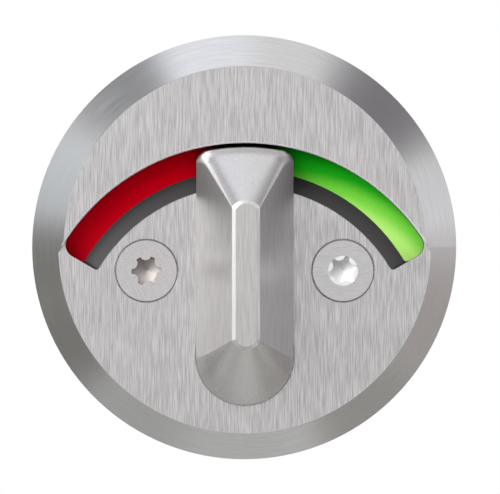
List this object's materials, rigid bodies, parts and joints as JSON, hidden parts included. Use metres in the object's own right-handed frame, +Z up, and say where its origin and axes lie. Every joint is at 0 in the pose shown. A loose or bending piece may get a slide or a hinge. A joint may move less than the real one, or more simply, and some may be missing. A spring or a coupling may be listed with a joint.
{
  "type": "indicator thumbturn",
  "caption": "Round bevelled indicator thumbturn for a door lock, with a ridged lever that swings over an arc window of red and green.",
  "frame": {"origin": "centre of the round rose, on the face that lies against the door", "axes": "+Z up the door, +Y into the door, -Y towards the user, +X to the user's right"},
  "size_m": [0.065, 0.0602, 0.065],
  "materials": {
    "satin_stainless_rose": "satin, ground upright on its faces and turned on its bevel",
    "satin_stainless_lever": "satin, ground lengthwise",
    "stainless_screw": "satin",
    "red_strip": "red, semi-gloss",
    "green_strip": "green, semi-gloss",
    "acetal": "natural white",
    "hardened_steel": "hardened, oiled",
    "spring_steel": "phosphated",
    "zinc_plated_steel": "bright zinc",
    "black_moulding": "black",
    "zinc_casting": "die-cast zinc, bare"
  },
  "bodies": {
    "rose": {"front_plate": "satin_stainless_rose", "base_plate": "zinc_casting", "base_screw_top": "zinc_plated_steel", "base_screw_left": "zinc_plated_steel", "base_screw_right": "zinc_plated_steel", "fixing_screw_left": "stainless_screw", "fixing_screw_right": "stainless_screw", "hub_bush": "acetal", "stop_pin_left": "hardened_steel", "stop_pin_right": "hardened_steel", "detent_spring": "spring_steel", "red_indicator": "red_strip", "green_indicator": "green_strip", "indicator_retainer": "black_moulding"},
    "turn": {"thumbturn_lever": "satin_stainless_lever", "cam_disc": "hardened_steel", "disc_spring": "spring_steel", "retaining_ring": "spring_steel", "drive_spindle": "zinc_plated_steel", "spindle_pin": "spring_steel"}
  },
  "joints": [
    {"name": "lever_turn", "type": "hinge", "parent": "rose", "child": "turn", "pos_m": [0, 0, -0.0166], "axis": [0, -1, 0], "range_deg": [-45, 45], "deforming": ["detent_spring"]}
  ]
}
